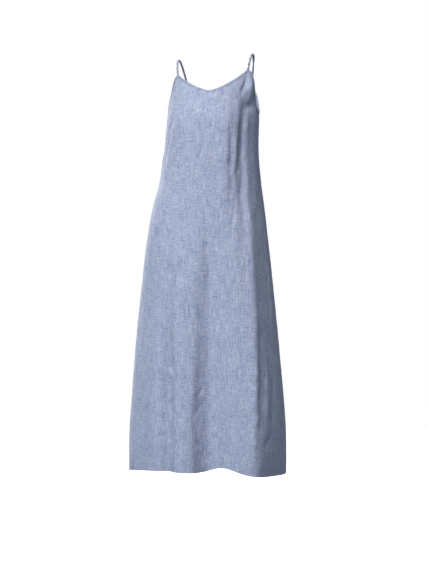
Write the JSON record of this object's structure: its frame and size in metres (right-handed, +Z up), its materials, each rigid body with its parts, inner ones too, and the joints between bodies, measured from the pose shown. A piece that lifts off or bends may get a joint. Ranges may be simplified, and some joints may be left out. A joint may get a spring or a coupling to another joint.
{
  "type": "sleeveless midi dress",
  "caption": "Hollow worn A-line midi dress in plain linen, with a shallow scooped neck, bound edges and narrow shoulder straps, one of them twisted.",
  "frame": {"origin": "midway between the undersides of the two straps, where they rest on the shoulders", "axes": "+Z up along the body, front of the dress facing -Y, wearer's left side towards +X"},
  "size_m": [0.474, 0.3633, 1.2551],
  "materials": {
    "linen": "blue and white slubbed chambray linen, plain weave, soft and matt",
    "binding": "the same linen cut on the bias and folded over the edge",
    "strap": "the same linen folded into a narrow tube"
  },
  "bodies": {
    "root": {"front_panel": "linen", "back_panel": "linen", "front_neck_binding": "binding", "back_neck_binding": "binding", "left_armhole_binding": "binding", "right_armhole_binding": "binding", "left_strap": "strap", "right_strap": "strap"}
  },
  "joints": []
}
